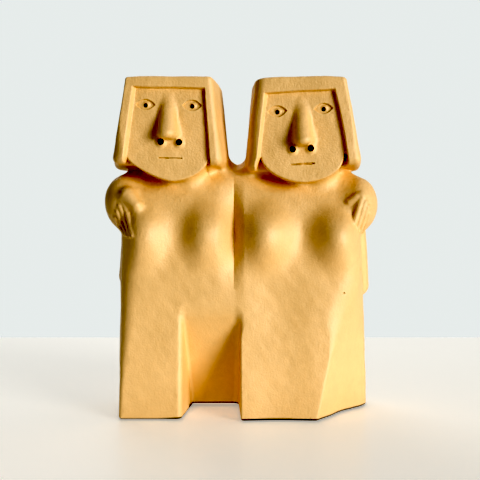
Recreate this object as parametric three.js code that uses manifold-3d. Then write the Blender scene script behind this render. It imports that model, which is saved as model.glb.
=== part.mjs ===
// Two women embracing, formed from one block of fired ochre clay.
// Millimetres, +Z up, the faces look along -Y, and the origin is the middle of the underside.

import * as THREE from 'three';
import { mergeVertices } from 'three/addons/utils/BufferGeometryUtils.js';
import Module from 'manifold-3d';

const wasm = await Module();
wasm.setup();

const { lerp, smoothstep, degToRad } = THREE.MathUtils;

// Overall sizes of the block that both women share
const HEIGHT = 300;
const FACE_Y = -36;
const HAIR_FRONT_Y = -40;
const HAIR_BACK_Y = 50;
const FLANK_Y = 16;
const SPLIT_X = -6;

// Outline of the shared body at a few heights: where its flanks, chest and back stand
const BODY_PROFILE = [
  { z: 0, left: -115.5, right: 119, front: -40, back: 47, corner: 3, flare: 9 },
  { z: 35, left: -115, right: 118.5, front: -39, back: 49, corner: 5, flare: 9 },
  { z: 70, left: -114.5, right: 117.5, front: -38, back: 51, corner: 11, flare: 8 },
  { z: 105, left: -114, right: 116.5, front: -37, back: 51, corner: 15, flare: 7 },
  { z: 140, left: -113.5, right: 114.5, front: -35.5, back: 49, corner: 20, flare: 6 },
  { z: 172, left: -112.5, right: 112.5, front: -32.5, back: 49, corner: 26, flare: 5 },
  { z: 192, left: -112, right: 112, front: -28, back: 49, corner: 26, flare: 4 },
  { z: 208, left: -111, right: 111, front: -22.5, back: 47, corner: 24, flare: 3 },
  { z: 220, left: -107, right: 107, front: -13, back: 42, corner: 20, flare: 2 },
  { z: 227, left: -98, right: 98, front: -2, back: 33, corner: 15, flare: 1 },
];
const BODY_HEIGHTS = [
  0, 20, 40, 60, 78, 94, 106, 118, 130, 138, 144, 149,
  155, 162, 169, 177, 185, 193, 201, 208, 214, 220, 224, 227,
];
const FRONT_STEPS = 40;
const BACK_STEPS = 14;
const CORNER_STEPS = 4;
const BACK_CORNER_MORE = 12;
const RIGHT_BLOCK_FORWARD = 6;
const BLOCK_TOP_Z = 100;

// Breasts: full and low, with a long slope above and a short round below
const BREAST_Z = 166;
const BREAST_RISE = 12;
const BREAST_HALF_WIDTH = 27;
const BREAST_ABOVE = 44;
const BREAST_BELOW = 27;
const BREAST_X = [-78, -31, 25, 80];

// The groove that parts the two bodies, deep on the chest and running out on the belly
const GROOVE_DEPTH = 9;
const GROOVE_HALF_WIDTH = 15;
const GROOVE_LOW_Z = 98;
const GROOVE_DEEP_Z = 168;
const GROOVE_TOP_Z = 226;
const BACK_GROOVE_DEPTH = 5;

// Seats at the back, and the grooves below them that part each woman's legs
const SEAT_Z = 88;
const SEAT_RISE = 6;
const SEAT_RADIUS = 30;
const SEAT_X = [-84, -36, 30, 82];

// Niche between the left legs and the right block, under a back wall that slopes to the table
const NICHE = {
  frontLeft: -51.5, frontRight: 0, backLeft: -45.5, backRight: -2,
  top: 98.5, backY: 12, lift: 3, underY: 38, cornerRadius: 7, clear: 30,
};

// Slanting facet on the lower right corner, by three points of its plane
const FACET = [
  new THREE.Vector3(66, -46, 2),
  new THREE.Vector3(84.5, -39, 87),
  new THREE.Vector3(117.2, 13.6, 0),
];
const FACET_SIZE = 260;

// Each head, in a frame of its own: sizes across and up from the middle of its face
const HAIR = { topFront: 37, hemFront: 43, corner: 6, topRound: 2, crownInset: 14, hemRound: 7 };
const HAIR_SHARES = [0, 0.03, 0.09, 0.3, 0.55, 0.8, 0.96, 0.985, 1];
const HEADS = [
  {
    x: -63.4, z: 258, roll: 1.2, yaw: 0,
    hairShift: -1.6, hem: -35, topSide: 46.5, hemSide: 56, fringe: 31.4,
    browHalf: 29.5, jawHalf: 34.5, jawTop: -29, chinDrop: 20.5, eyeUp: 17.2, noseShift: 1.8, noseRoot: 24,
    noseBase: -14.5, noseHalf: 11.5, mouthUp: -29.2, mouthShift: 2.2,
  },
  {
    x: 54.7, z: 258, roll: -2.9, yaw: -3,
    hairShift: 1.8, hem: -38, topSide: 44.5, hemSide: 55.5, fringe: 28.2,
    browHalf: 29.5, jawHalf: 36.5, jawTop: -27, chinDrop: 24, eyeUp: 13, noseShift: -0.6, noseRoot: 19,
    noseBase: -20.5, noseHalf: 11.5, mouthUp: -34.4, mouthShift: -0.3,
  },
];
const NECK_Y = 8;
const JAW_THICK = 7;
const CHIN_SHIFT = 7;

// Features carved or added to each face
const EYE = { apart: 40.7, half: 8.7, height: 5.3, depth: 2.6, ball: 5.6, ballShift: 1, ballRise: 1.9 };
const PUPIL = { radius: 1.9, shift: -1, depth: 6 };
const NOSE_OUT = 22;
const NOSE_ROOT_OUT = 2;
const NOSE_ROOT_HALF = 5;
const NOSTRIL = { radius: 2.7, apart: 15.6, tilt: 38, depth: 9 };
const MOUTH = { half: 10.5, height: 1.2, depth: 1.5 };

// Hands of the embracing arms, one on each outer shoulder, and the arms they belong to
const SHOULDER = { x: 105.5, y: 5, z: 192, across: 19.5, deep: 34, up: 26 };
const FINGER_RADIUS = 3.2;
const THUMB_RADIUS = 4;
const HANDS = [
  {
    side: -1, drop: 0,
    thumb: [[104, 203], [99.5, 197.5], [90, 186]],
    fingers: [
      [[106, 193], [103.5, 187], [95.5, 165]],
      [[108, 187], [105.5, 181], [96, 159.5]],
      [[110, 182], [107, 177], [100, 159.5]],
      [[112, 178], [109.5, 173], [104.5, 160]],
    ],
  },
  {
    side: 1, drop: 3,
    thumb: [[106, 196], [102, 195], [96, 190.5]],
    fingers: [
      [[107, 194], [104.5, 188], [99.5, 172]],
      [[109, 190], [107, 184], [102.5, 168]],
      [[111, 186], [109, 179], [105.8, 166]],
      [[112.5, 181], [111, 174], [109.5, 165.5]],
    ],
  },
];
const ARM_BAND = { radius: 13, y: 44, near: [-14, 202], middle: [46, 187], far: [100, 197], farY: 30 };
const HANGING_ARM = { radius: 10.5, y: 25, topZ: 184, lean: 4 };
const ARM_OUTER_X = [-116.5, 123.2];
const HAND_TIP_Z = [112, 103];
const SIDES = [-1, 1];

// Turns a closed geometry into a solid that can be joined and cut
function solidOf(geometry) {
  const bare = geometry.index ? geometry.toNonIndexed() : geometry.clone();
  bare.deleteAttribute('normal');
  bare.deleteAttribute('uv');
  const merged = mergeVertices(bare, 1e-3);
  const mesh = new wasm.Mesh({
    numProp: 3,
    vertProperties: new Float32Array(merged.attributes.position.array),
    triVerts: new Uint32Array(merged.index.array),
  });
  return new wasm.Manifold(mesh);
}

// Turns a finished solid back into a geometry
function geometryOf(solid) {
  const mesh = solid.getMesh();
  const geometry = new THREE.BufferGeometry();
  geometry.setAttribute('position', new THREE.BufferAttribute(mesh.vertProperties, 3));
  geometry.setIndex(new THREE.BufferAttribute(mesh.triVerts, 1));
  geometry.computeVertexNormals();
  return geometry;
}

// Fills any small pocket that joined limbs close off, by keeping only the outer shell
function outerShell(solid) {
  return solid.decompose().reduce((best, shell) => (shell.volume() > best.volume() ? shell : best));
}

// Skins a row of closed rings that all have the same count of points, and closes both ends.
// The rings may run either way round: the skin is turned so that it faces out.
function loft(rings) {
  const count = rings[0].length;
  const corners = rings.flat();
  const faces = [];
  for (let row = 0; row + 1 < rings.length; row += 1) {
    for (let step = 0; step < count; step += 1) {
      const a = row * count + step;
      const b = row * count + (step + 1) % count;
      faces.push(a, b, b + count, a, b + count, a + count);
    }
  }
  for (const [row, turned] of [[0, true], [rings.length - 1, false]]) {
    const middle = new THREE.Vector3();
    for (const point of rings[row]) {
      middle.addScaledVector(point, 1 / count);
    }
    corners.push(middle);
    for (let step = 0; step < count; step += 1) {
      const a = row * count + step;
      const b = row * count + (step + 1) % count;
      faces.push(...(turned ? [b, a] : [a, b]), corners.length - 1);
    }
  }
  const geometry = new THREE.BufferGeometry().setFromPoints(corners);
  geometry.setIndex(faces);
  const solid = solidOf(geometry);
  if (solid.volume() > 0) {
    return solid;
  }
  geometry.setIndex(faces.reverse());
  return solidOf(geometry);
}

// A ball scaled to three radii
function ellipsoid(centre, radii, around = 16, up = 10) {
  const geometry = new THREE.SphereGeometry(1, around, up);
  geometry.rotateX(Math.PI / 2);
  geometry.scale(radii[0], radii[1], radii[2]);
  geometry.translate(centre[0], centre[1], centre[2]);
  return solidOf(geometry);
}

// A round-ended rod between two points
function rod(from, to, radius, around = 8, ends = 3) {
  const start = new THREE.Vector3(...from);
  const along = new THREE.Vector3(...to).sub(start);
  const geometry = new THREE.CapsuleGeometry(radius, along.length(), ends, around);
  geometry.translate(0, along.length() / 2, 0);
  const turn = new THREE.Quaternion().setFromUnitVectors(
    new THREE.Vector3(0, 1, 0),
    along.clone().normalize(),
  );
  geometry.applyQuaternion(turn);
  geometry.translate(start.x, start.y, start.z);
  return solidOf(geometry);
}

// Round-ended rods through a row of points, joined into one limb
function limb(points, radius, around = 8) {
  let solid = rod(points[0], points[1], radius, around);
  for (let step = 1; step + 1 < points.length; step += 1) {
    solid = solid.add(rod(points[step], points[step + 1], radius, around));
  }
  return solid;
}

// A swelling that is 1 at the middle and 0 from one unit away
function swell(distance) {
  const inside = Math.max(0, 1 - distance * distance);
  return inside * inside;
}

// The body outline's sizes at a height
function bodyAt(z) {
  let row = 1;
  while (row + 1 < BODY_PROFILE.length && BODY_PROFILE[row].z < z) {
    row += 1;
  }
  const low = BODY_PROFILE[row - 1];
  const high = BODY_PROFILE[row];
  const share = (z - low.z) / (high.z - low.z);
  const sizes = {};
  for (const key of Object.keys(low)) {
    sizes[key] = lerp(low[key], high[key], share);
  }
  return sizes;
}

// How far the front of the body stands forward of its plain outline at a place
function frontRise(x, z) {
  let rise = 0;
  for (const breastX of BREAST_X) {
    const reach = z > BREAST_Z ? BREAST_ABOVE : BREAST_BELOW;
    rise += BREAST_RISE * swell(Math.hypot((x - breastX) / BREAST_HALF_WIDTH, (z - BREAST_Z) / reach));
  }
  const fade = smoothstep(z, GROOVE_LOW_Z, GROOVE_DEEP_Z) * (1 - smoothstep(z, GROOVE_DEEP_Z, GROOVE_TOP_Z));
  const groove = Math.max(0, 1 - Math.abs(x - SPLIT_X) / GROOVE_HALF_WIDTH);
  const block = smoothstep(x, NICHE.frontLeft, NICHE.frontRight) * Math.max(0, 1 - z / BLOCK_TOP_Z);
  return rise - GROOVE_DEPTH * fade * groove ** 1.4 + RIGHT_BLOCK_FORWARD * block;
}

// How far the back of the body stands behind its plain outline at a place
function backRise(x, z) {
  let rise = 0;
  for (const seatX of SEAT_X) {
    rise += SEAT_RISE * swell(Math.hypot(x - seatX, z - SEAT_Z) / SEAT_RADIUS);
  }
  return rise - BACK_GROOVE_DEPTH * swell((x - SPLIT_X) / GROOVE_HALF_WIDTH);
}

// One closed ring of the body at a height, run anticlockwise seen from above
function bodyRing(z) {
  const size = bodyAt(z);
  const frontLeft = size.left + size.flare;
  const frontRight = size.right - size.flare;
  const backCorner = size.corner + BACK_CORNER_MORE;
  const ring = [];
  const put = (x, y) => ring.push(new THREE.Vector3(x, y, z));
  const turnCorner = (x, y, radius, startAngle, rise = () => 0) => {
    for (let step = 1; step < CORNER_STEPS; step += 1) {
      const angle = startAngle + (step / CORNER_STEPS) * (Math.PI / 2);
      const cornerX = x + radius * Math.cos(angle);
      put(cornerX, y + radius * Math.sin(angle) - rise(cornerX, z));
    }
  };
  const cornerY = size.front + size.corner;
  for (let step = 0; step <= FRONT_STEPS; step += 1) {
    const x = lerp(frontLeft + size.corner, frontRight - size.corner, step / FRONT_STEPS);
    put(x, size.front - frontRise(x, z));
  }
  turnCorner(frontRight - size.corner, cornerY, size.corner, -Math.PI / 2, frontRise);
  put(frontRight, cornerY - frontRise(frontRight, z));
  put(size.right, FLANK_Y);
  put(size.right, size.back - backCorner);
  turnCorner(size.right - backCorner, size.back - backCorner, backCorner, 0);
  for (let step = 0; step <= BACK_STEPS; step += 1) {
    const x = lerp(size.right - backCorner, size.left + backCorner, step / BACK_STEPS);
    put(x, size.back + backRise(x, z));
  }
  turnCorner(size.left + backCorner, size.back - backCorner, backCorner, Math.PI / 2);
  put(size.left, size.back - backCorner);
  put(size.left, FLANK_Y);
  put(frontLeft, cornerY - frontRise(frontLeft, z));
  turnCorner(frontLeft + size.corner, cornerY, size.corner, Math.PI, frontRise);
  return ring;
}

// Depth of the skin at a place on the chest, its rounded corner or the flank behind that
function skinY(x, z) {
  const size = bodyAt(z);
  const edge = (x < 0 ? -size.left : size.right) - size.flare;
  const past = Math.abs(x) - (edge - size.corner);
  if (past > size.corner) {
    return lerp(size.front + size.corner, FLANK_Y, Math.min(1, (Math.abs(x) - edge) / size.flare));
  }
  const turned = past > 0 ? size.corner - Math.sqrt(size.corner ** 2 - past ** 2) : 0;
  return size.front + turned - frontRise(x, z);
}

function body() {
  return loft(BODY_HEIGHTS.map(bodyRing));
}

// The niche is an upright opening whose top comes down from the belly to the table
function niche() {
  const ringAt = (y, left, right, top) => {
    const radius = Math.min(NICHE.cornerRadius, top / 3);
    const shape = new THREE.Shape();
    shape.moveTo(left, -NICHE.clear);
    shape.lineTo(right, -NICHE.clear);
    shape.lineTo(right, top - radius);
    shape.absarc(right - radius, top - radius, radius, 0, Math.PI / 2, false);
    shape.lineTo(left, top);
    return shape.getPoints(4).map((point) => new THREE.Vector3(point.x, y, point.y));
  };
  const frontY = HAIR_FRONT_Y;
  return loft([
    ringAt(frontY - NICHE.clear, NICHE.frontLeft, NICHE.frontRight, NICHE.top),
    ringAt(frontY, NICHE.frontLeft, NICHE.frontRight, NICHE.top),
    ringAt(NICHE.backY, NICHE.backLeft, NICHE.backRight, NICHE.lift),
    ringAt(NICHE.underY, NICHE.backLeft, NICHE.backRight, NICHE.lift),
  ]);
}

// A big block that lies on the outer side of the facet's plane
function facetCutter() {
  const [low, high, rear] = FACET;
  const geometry = new THREE.BoxGeometry(FACET_SIZE, FACET_SIZE, FACET_SIZE);
  geometry.translate(0, 0, FACET_SIZE / 2);
  const outward = high.clone().sub(low).cross(rear.clone().sub(low)).normalize();
  if (outward.x < 0) {
    outward.negate();
  }
  const turn = new THREE.Quaternion().setFromUnitVectors(new THREE.Vector3(0, 0, 1), outward);
  geometry.applyQuaternion(turn);
  geometry.translate(low.x, low.y, low.z);
  return solidOf(geometry);
}

// Hair, cut like a flat-topped helmet: narrow in front, widest at the ears, round behind.
// Its top stays level, however far the head is rolled.
function hair(woman) {
  const top = HEIGHT - woman.z;
  const rings = HAIR_SHARES.map((share) => {
    const hemInset = HAIR.hemRound * Math.max(0, 1 - share / HAIR_SHARES[2]) ** 2;
    const topInset = HAIR.topRound * smoothstep(share, HAIR_SHARES[6], HAIR_SHARES[7]) ** 2;
    const inset = hemInset + topInset + HAIR.crownInset * smoothstep(share, HAIR_SHARES[7], 1);
    const w = lerp(woman.hem, top, share);
    const front = lerp(HAIR.hemFront, HAIR.topFront, share) - inset;
    const side = lerp(woman.hemSide, woman.topSide, share) - inset;
    const frontY = HAIR_FRONT_Y + 0.6 * inset;
    const backDepth = HAIR_BACK_Y - FLANK_Y - inset;
    const shape = new THREE.Shape();
    shape.moveTo(-front + HAIR.corner, frontY);
    shape.lineTo(0, frontY);
    shape.lineTo(front - HAIR.corner, frontY);
    shape.quadraticCurveTo(front, frontY, front + 1.5, frontY + HAIR.corner * 1.4);
    shape.lineTo(lerp(front, side, 0.62), lerp(frontY, FLANK_Y, 0.5));
    shape.lineTo(side, FLANK_Y - 8);
    shape.absellipse(0, FLANK_Y, side, backDepth, 0, Math.PI, false);
    shape.lineTo(-side, FLANK_Y - 8);
    shape.lineTo(-lerp(front, side, 0.62), lerp(frontY, FLANK_Y, 0.5));
    shape.lineTo(-front - 1.5, frontY + HAIR.corner * 1.4);
    shape.quadraticCurveTo(-front, frontY, -front + HAIR.corner, frontY);
    const points = shape.getPoints(8);
    points.pop();
    const level = share * Math.tan(degToRad(woman.roll));
    return points.map((point) => new THREE.Vector3(point.x + woman.hairShift, point.y, w + level * point.x));
  });
  return loft(rings);
}

// Pocket that leaves fringe and side locks standing round the face
function facePocket(woman) {
  const depth = FACE_Y - HAIR_FRONT_Y;
  const ringAt = (y, spread) => [
    new THREE.Vector3(-woman.browHalf - spread, y, woman.fringe + spread / 2),
    new THREE.Vector3(-woman.jawHalf - spread, y, woman.hem - NICHE.clear),
    new THREE.Vector3(woman.jawHalf + spread / 2, y, woman.hem - NICHE.clear),
    new THREE.Vector3(woman.browHalf + spread / 2, y, woman.fringe + spread / 2),
  ];
  return loft([ringAt(HAIR_FRONT_Y - depth, 4), ringAt(FACE_Y, 0)]);
}

// Jaw and neck: a U below the face that overhangs the chest
function jaw(woman) {
  const ringAt = (y, narrow, raise) => {
    const half = woman.jawHalf - narrow;
    const low = woman.jawTop - woman.chinDrop + raise;
    const shape = new THREE.Shape();
    shape.moveTo(-half, woman.jawTop + 20);
    shape.lineTo(-half, woman.jawTop);
    const cheek = woman.jawTop - 0.58 * woman.chinDrop;
    shape.bezierCurveTo(-half * 0.63, cheek, -half * 0.25, low, CHIN_SHIFT, low);
    shape.bezierCurveTo(half * 0.5, low, half, cheek, half, woman.jawTop);
    shape.lineTo(half, woman.jawTop + 20);
    return shape.getPoints(8).map((point) => new THREE.Vector3(point.x, y, point.y));
  };
  return loft([
    ringAt(FACE_Y, 1, 1),
    ringAt(FACE_Y + 1.5, 0, 0),
    ringAt(FACE_Y + JAW_THICK, 0.5, 0.5),
    ringAt(NECK_Y, 6, 4),
  ]);
}

// Nose: a long wedge that swells from the brow to a blunt tip
function nose(woman) {
  const rings = [0, 0.25, 0.5, 0.75, 0.93, 1].map((share) => {
    const w = lerp(woman.noseRoot, woman.noseBase, share);
    const half = lerp(NOSE_ROOT_HALF, woman.noseHalf, share) - (share === 1 ? 1 : 0);
    const out = lerp(NOSE_ROOT_OUT, NOSE_OUT, share) - (share === 1 ? 2.5 : 0);
    const shape = new THREE.Shape();
    shape.moveTo(-half, FACE_Y + 3);
    shape.lineTo(-half, FACE_Y - out * 0.3);
    shape.bezierCurveTo(-half * 0.8, FACE_Y - out, -half * 0.5, FACE_Y - out, 0, FACE_Y - out);
    shape.bezierCurveTo(half * 0.5, FACE_Y - out, half * 0.8, FACE_Y - out, half, FACE_Y - out * 0.3);
    shape.lineTo(half, FACE_Y + 3);
    return shape.getPoints(4).map((point) => new THREE.Vector3(point.x + woman.noseShift, point.y, w));
  });
  return loft(rings.reverse());
}

// An almond outline in the plane of the face, for the pit that an eye sits in
function eyePit(middle, up) {
  const shape = new THREE.Shape();
  shape.moveTo(-EYE.half, 0);
  shape.bezierCurveTo(-EYE.half * 0.3, -EYE.height * 1.35, EYE.half * 0.4, -EYE.height * 1.3, EYE.half, 0);
  shape.bezierCurveTo(EYE.half * 0.4, EYE.height * 1.3, -EYE.half * 0.2, EYE.height * 1.45, -EYE.half, 0);
  const geometry = new THREE.ExtrudeGeometry(shape, { depth: 20, bevelEnabled: false, curveSegments: 6 });
  geometry.rotateX(Math.PI / 2);
  geometry.translate(middle, FACE_Y + EYE.depth, up);
  return solidOf(geometry);
}

// A round drilled hole that enters at a point and runs in and up by an angle
function drilled(x, y, z, radius, depth, tilt) {
  const geometry = new THREE.CylinderGeometry(radius, radius, depth * 2, 12);
  geometry.rotateX(degToRad(tilt));
  geometry.translate(x, y, z);
  return solidOf(geometry);
}

// One woman's head in her own frame, then turned and set on the body
function head(woman) {
  let solid = hair(woman).subtract(facePocket(woman)).add(jaw(woman)).add(nose(woman));
  for (const side of SIDES) {
    const middle = (side * EYE.apart) / 2;
    const ball = ellipsoid(
      [middle + EYE.ballShift, FACE_Y + EYE.ball - EYE.ballRise + EYE.depth, woman.eyeUp],
      [EYE.ball, EYE.ball, EYE.ball * 0.9],
      12,
      8,
    );
    solid = solid.subtract(eyePit(middle, woman.eyeUp)).add(ball);
    const pupilX = middle + EYE.ballShift + PUPIL.shift;
    solid = solid.subtract(drilled(pupilX, FACE_Y + 1, woman.eyeUp - 0.6, PUPIL.radius, PUPIL.depth, 0));
    const nostrilX = woman.noseShift + (side * NOSTRIL.apart) / 2;
    solid = solid.subtract(
      drilled(nostrilX, FACE_Y - 3, woman.noseBase - 0.5, NOSTRIL.radius, NOSTRIL.depth, NOSTRIL.tilt),
    );
  }
  const mouth = new THREE.BoxGeometry(MOUTH.half * 2, MOUTH.depth * 2, MOUTH.height);
  mouth.translate(woman.mouthShift, FACE_Y, woman.mouthUp);
  solid = solid.subtract(solidOf(mouth));
  return solid.rotate([0, woman.roll, woman.yaw]).translate([woman.x, 0, woman.z]);
}

// The hand that comes over an outer shoulder from behind: its back, a thumb and four fingers
function shoulderHand(hand) {
  const centre = [hand.side * SHOULDER.x, SHOULDER.y, SHOULDER.z - hand.drop];
  const onSkin = ([out, up]) => [hand.side * out, skinY(hand.side * out, up), up];
  let solid = ellipsoid(centre, [SHOULDER.across, SHOULDER.deep, SHOULDER.up], 20, 14);
  solid = solid.add(limb(hand.thumb.map(onSkin), THUMB_RADIUS));
  for (const finger of hand.fingers) {
    solid = solid.add(limb(finger.map(onSkin), FINGER_RADIUS));
  }
  return solid;
}

// The arm that reaches across the other woman's back to her far shoulder
function embracingArm(side) {
  const { near, middle, far } = ARM_BAND;
  const points = [
    [side * near[0], ARM_BAND.y - 4, near[1]],
    [side * middle[0], ARM_BAND.y, middle[1]],
    [side * far[0], ARM_BAND.farY, far[1]],
  ];
  return limb(points, ARM_BAND.radius, 12);
}

// The outer arm that hangs at a flank and ends in a hand at the hip
function hangingArm(index) {
  const side = SIDES[index];
  const x = ARM_OUTER_X[index] - side * HANGING_ARM.radius;
  const top = [x - side * HANGING_ARM.lean, HANGING_ARM.y, HANGING_ARM.topZ];
  const wrist = [x, HANGING_ARM.y, HAND_TIP_Z[index] + HANGING_ARM.radius];
  return rod(top, wrist, HANGING_ARM.radius, 12);
}

function figurine() {
  let solid = body();
  for (const woman of HEADS) {
    solid = solid.add(head(woman));
  }
  for (const hand of HANDS) {
    solid = solid.add(shoulderHand(hand));
  }
  solid = solid.add(embracingArm(1)).add(embracingArm(-1));
  solid = solid.add(hangingArm(0)).add(hangingArm(1));
  return outerShell(solid.subtract(niche()).subtract(facetCutter()));
}

const clay = new THREE.MeshStandardMaterial({ color: 0xe0a860, roughness: 0.85, metalness: 0 });
const pair = new THREE.Mesh(geometryOf(figurine()), clay);
pair.name = 'embracing_pair';

const group = new THREE.Group();
group.add(pair);

export default group;
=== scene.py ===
import math

import bpy
import numpy as np
from bpy.props import FloatProperty, FloatVectorProperty, IntProperty, PointerProperty
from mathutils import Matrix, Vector


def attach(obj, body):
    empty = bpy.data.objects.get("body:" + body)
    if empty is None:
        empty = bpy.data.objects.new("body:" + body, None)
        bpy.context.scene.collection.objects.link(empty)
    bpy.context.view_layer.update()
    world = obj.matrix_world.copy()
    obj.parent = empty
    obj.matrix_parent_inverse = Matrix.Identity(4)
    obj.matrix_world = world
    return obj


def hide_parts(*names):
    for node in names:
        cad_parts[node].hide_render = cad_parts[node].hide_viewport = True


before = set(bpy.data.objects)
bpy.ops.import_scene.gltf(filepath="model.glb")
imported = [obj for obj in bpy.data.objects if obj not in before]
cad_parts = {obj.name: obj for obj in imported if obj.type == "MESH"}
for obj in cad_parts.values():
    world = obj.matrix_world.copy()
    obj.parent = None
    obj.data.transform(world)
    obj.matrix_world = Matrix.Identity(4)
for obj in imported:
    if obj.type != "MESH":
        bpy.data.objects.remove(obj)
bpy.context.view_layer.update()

bl_info = {
    "name": "Embracing clay pair",
    "version": (1, 0, 0),
    "blender": (4, 5, 0),
    "location": "3D View > Sidebar > Clay pair",
    "description": "Hand-built clay figurine of two women embracing, with its table and light",
    "category": "Object",
}

MM = 0.001

# The block that both women share, in millimetres: +Z up, the faces look along -Y
HEIGHT = 300.0
BODY_TOP = 227.0
FACE_Y = -36.0
HAIR_FRONT_Y = -40.0
HAIR_BACK_Y = 50.0
FLANK_Y = 16.0
SPLIT_X = -6.0
SIDES = (-1, 1)

# Outline of the body by height: left flank, right flank, chest, back, corner radius, flare
BODY_OUTLINE = np.array([
    (0, -115.5, 119, -40, 47, 3, 9),
    (35, -115, 118.5, -39, 49, 5, 9),
    (70, -114.5, 117.5, -38, 51, 11, 8),
    (105, -114, 116.5, -37, 51, 15, 7),
    (140, -113.5, 114.5, -35.5, 49, 20, 6),
    (172, -112.5, 112.5, -32.5, 49, 20, 5),
    (192, -112, 112, -28, 49, 18, 4),
    (208, -111, 111, -22.5, 47, 18, 3),
    (220, -107, 107, -13, 42, 17, 2),
    (227, -98, 98, -2, 33, 15, 1),
], dtype=float)
OUTLINE_LOW_Z, OUTLINE_HIGH_Z, OUTLINE_SPARE, OUTLINE_SOFTEN = -60.0, 320.0, 40, 9
BACK_CORNER_MORE, BODY_TOP_ROUND = 12.0, 9.0

# Breasts: x and height of the middle, reach to the left, right, above and below, share of the rise
BREASTS = (
    (-84, 163, 30, 30, 40, 46, 0.80),
    (-31, 162, 30, 40, 38, 44, 0.97),
    (22, 162, 34.5, 38, 39, 45, 1.24),
    (84, 160, 35, 36, 37, 43, 1.26),
)

# Recess of the chest under the left of each jaw, placed from the middle of the face
UNDERCUT_LEFT, UNDERCUT_BELOW, UNDERCUT_DEPTH = 22.0, 47.0, 4.5
UNDERCUT_HALF_WIDTH, UNDERCUT_HALF_HEIGHT = 26.0, 13.0

# Groove that parts the bodies: its half width at the left and at the right, and its heights
GROOVE_HALF_WIDTHS, GROOVE_POWER = (15.0, 9.0), 1.4
GROOVE_LOW_Z, GROOVE_DEEP_Z, GROOVE_TOP_Z = 98.0, 168.0, 226.0

# How far the foot of the right block stands forward, and the shallow dish above it
BLOCK_FORWARD, BLOCK_TOP_Z = 6.0, 100.0
DISH_X, DISH_HALF_WIDTH, DISH_DEPTH = 33.0, 33.0, 2.0
DISH_LOW_Z, DISH_TOP_Z = 112.0, 152.0

# Groove and seats of the backs
BACK_GROOVE_HALF_WIDTH, BACK_GROOVE_DEPTH = 15.0, 5.0
SEATS = (-84, -36, 30, 82)
SEAT_Z, SEAT_RADIUS, SEAT_RISE = 88.0, 30.0, 6.0

# Niche between the legs and the right block: (y, left wall, right wall, ceiling), front and back
NICHE_FRONT = (-40.0, -51.5, 0.0, 99.5)
NICHE_REAR = (12.0, -45.5, -2.0, 3.0)
NICHE_UNDER_Y = 38.0
NICHE_LEFT_ROUND, NICHE_RIGHT_ROUND, SLOT_ROUND = 3.0, 6.0, 0.5
NICHE_EDGE, NICHE_EDGE_MORE, NICHE_EDGE_Z = 1.3, 2.4, (70, 84)
NICHE_LEFT_EDGE, NICHE_LEFT_EDGE_X = 4.2, (-22, -36)

# Foot: lift of its edge, depths in the clay between which the lift grows, rounding, and height of the
# painted black shadow along it, at the left, at the right and in the niche
FOOT_LIFT, FOOT_LIFT_DEPTHS, FOOT_ROUND = 1.0, (-7.0, -3.0), 2.2
FOOT_SHADOW, FOOT_SHADOW_RIGHT, FOOT_SHADOW_NICHE = 1.4, 2.4, 4.0
FOOT_SHADOW_X, FOOT_SHADOW_SOFT = (-75, -50), 0.8
FOOT_SHADOW_NICHE_X, FOOT_SHADOW_NICHE_Y = (-47.5, -2.0), 20

# All cuts into the block end below this height
CUTS_TOP_Z = 130

# Slanting facet of the right block, by three points of its plane
FACET = np.array([(66, -46, 2), (84.5, -39, 87), (117.2, 13.6, 0)], dtype=float)
FACET_WAVES, FACET_WAVES_TOP_Z = ((91, 13, 1.9), (112, 9, -1.3)), 55
FACET_FADE, FACET_FADE_Z = 7.0, (85, 128)
FACET_EDGE, FACET_EDGE_MORE, FACET_EDGE_Z = 1.2, 9.0, (50, 105)

# Each head in a frame of its own: sizes across and up from the middle of its face. The locks give
# (half width on top, at the hem, corner radius on top, at the hem) for the left and the right one,
# and the pocket gives (half width at the fringe, at the hem, bow) for its left and right wall.
# Lean and radii of the nose are given at its root and at its tip.
HEADS = (
    dict(
        x=-63.4, z=258, roll=1.2, yaw=0,
        hair_shift=-1.6, hem=-35, top_side=46.5, hem_side=56, dome=0.6, bevel=3.0, fringe=31.4,
        locks=((36, 46, 1.5, 9.0), (38.7, 49, 4.0, 5.0)), lock_fillet=5.0,
        pocket=((28.9, 36.5, 0), (31.0, 37.3, 0)),
        jaw=36.0, jaw_powers=(1.38, 1.75), jaw_top=-29, chin=20.5, chin_shift=3.7,
        nose=1.8, nose_root=24, nose_base=-14.5, nose_lean=(-2.4, -2.4), nose_radii=(7.2, 8.6),
        eye=17.2, mouth=-29.2, mouth_shift=2.2,
    ),
    dict(
        x=54.7, z=258, roll=-2.9, yaw=-3,
        hair_shift=1.8, hem=-38, top_side=44.5, hem_side=55.5, dome=1.6, bevel=2.8, fringe=28.2,
        locks=((38.5, 49.5, 8.0, 9.0), (38.5, 49.5, 3.0, 6.0)), lock_fillet=0.0,
        pocket=((28.0, 39.3, 0), (30.5, 39.2, 1.3)),
        jaw=36.5, jaw_powers=(1.7, 2.1), jaw_top=-27, chin=23.7, chin_shift=1.0,
        nose=-0.6, nose_root=19, nose_base=-20.5, nose_lean=(2.0, 1.5), nose_radii=(7.4, 7.6),
        eye=13, mouth=-34.4, mouth_shift=-0.3,
    ),
)
HEAD_LOW_Z, HEAD_REACH = 196, 76

# Hair: how far back it is widest, shares of its height between which its front corners change,
# half width of the crown's dome, roundings, and slant of the left lock's inner side beside the jaw
HAIR_WIDEST_Y = 20.0
HAIR_CORNER_SHARES = (0.1, 0.5)
CROWN_HALF, CROWN_ROUND, HEM_ROUND = 40, 2.4, 7.0
LOCK_SLANT = 0.25

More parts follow.
